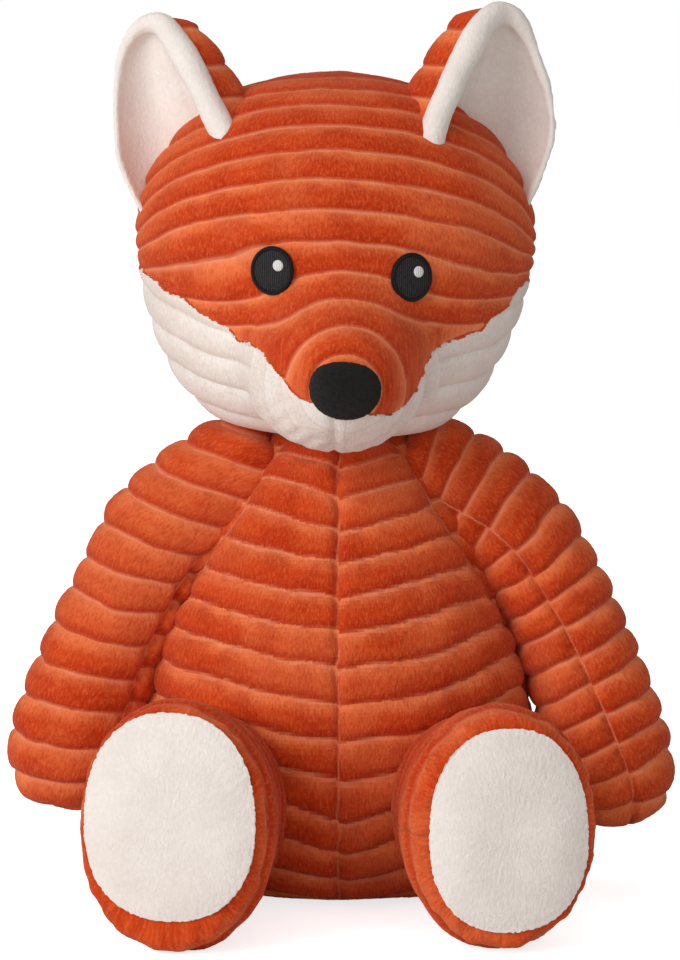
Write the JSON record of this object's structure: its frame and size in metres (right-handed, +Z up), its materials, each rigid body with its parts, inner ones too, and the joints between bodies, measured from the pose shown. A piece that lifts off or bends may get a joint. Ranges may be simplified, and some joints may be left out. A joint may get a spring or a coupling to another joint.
{
  "type": "plush fox",
  "caption": "Sitting stuffed fox of wide-ribbed rust plush with cream cheeks, smooth ear linings and sole pads, and sewn limbs that flex at their seams.",
  "frame": {"origin": "centre of the flat seat, on the plane that the toy sits on", "axes": "+Z up from the seat to the ears, -Y the way the face and the soles point, +X to the viewer's right when the toy is seen from the front"},
  "size_m": [0.1826, 0.2125, 0.2446],
  "materials": {
    "rust_plush": "wide-ribbed short pile",
    "cream_plush": "wide-ribbed short pile",
    "cream_fleece": "smooth short pile",
    "black_plush": "dense short pile",
    "black_thread": "satin-stitched thread",
    "white_thread": "satin-stitched thread",
    "fibre_filling": "loose polyester fibre",
    "cotton_pouch": "plain woven cotton"
  },
  "bodies": {
    "torso": {"body_front_left": "rust_plush", "body_front_right": "rust_plush", "body_back": "rust_plush", "body_stuffing": "fibre_filling", "pellet_pouch": "cotton_pouch"},
    "head": {"head_crown": "rust_plush", "cheek_left": "cream_plush", "cheek_right": "cream_plush", "head_stuffing": "fibre_filling", "eye_left": "black_thread", "eye_right": "black_thread", "eye_glint_left": "white_thread", "eye_glint_right": "white_thread", "nose": "black_plush"},
    "ear_left": {"ear_back_left": "rust_plush", "ear_lining_left": "cream_fleece"},
    "ear_right": {"ear_back_right": "rust_plush", "ear_lining_right": "cream_fleece"},
    "arm_left": {"arm_left": "rust_plush", "arm_left_stuffing": "fibre_filling"},
    "arm_right": {"arm_right": "rust_plush", "arm_right_stuffing": "fibre_filling"},
    "leg_left": {"leg_left": "rust_plush", "leg_left_stuffing": "fibre_filling", "sole_pad_left": "cream_fleece"},
    "leg_right": {"leg_right": "rust_plush", "leg_right_stuffing": "fibre_filling", "sole_pad_right": "cream_fleece"},
    "tail": {"tail_cover": "rust_plush", "tail_tip": "cream_fleece", "tail_stuffing": "fibre_filling"}
  },
  "joints": [
    {"name": "head_turn", "type": "hinge", "parent": "torso", "child": "head", "pos_m": [0, 0, 0.129], "axis": [0, 0, 1], "range_deg": [-30, 30], "stiffness_Nm_per_rad": 0.05},
    {"name": "ear_left_fold", "type": "hinge", "parent": "head", "child": "ear_left", "pos_m": [-0.0429, 0.008, 0.2029], "axis": [-0.7317, 0, -0.6816], "range_deg": [0, 35], "stiffness_Nm_per_rad": 0.02},
    {"name": "ear_right_fold", "type": "hinge", "parent": "head", "child": "ear_right", "pos_m": [0.0397, 0.0116, 0.1996], "axis": [-0.7317, 0, 0.6816], "range_deg": [0, 35], "stiffness_Nm_per_rad": 0.02},
    {"name": "arm_left_raise", "type": "hinge", "parent": "torso", "child": "arm_left", "pos_m": [-0.029, 0, 0.112], "axis": [-0.5, 0.866, 0], "range_deg": [0, 50], "stiffness_Nm_per_rad": 0.03},
    {"name": "arm_right_raise", "type": "hinge", "parent": "torso", "child": "arm_right", "pos_m": [0.029, 0, 0.112], "axis": [-0.5, -0.866, 0], "range_deg": [0, 50], "stiffness_Nm_per_rad": 0.03},
    {"name": "leg_left_lift", "type": "hinge", "parent": "torso", "child": "leg_left", "pos_m": [-0.03, -0.0465, 0.0515], "axis": [-1, 0, 0], "range_deg": [0, 35], "stiffness_Nm_per_rad": 0.03},
    {"name": "leg_right_lift", "type": "hinge", "parent": "torso", "child": "leg_right", "pos_m": [0.03, -0.0465, 0.0515], "axis": [-1, 0, 0], "range_deg": [0, 35], "stiffness_Nm_per_rad": 0.03},
    {"name": "tail_lift", "type": "hinge", "parent": "torso", "child": "tail", "pos_m": [0, 0.0465, 0.0255], "axis": [1, 0, 0], "range_deg": [0, 35], "stiffness_Nm_per_rad": 0.02}
  ]
}
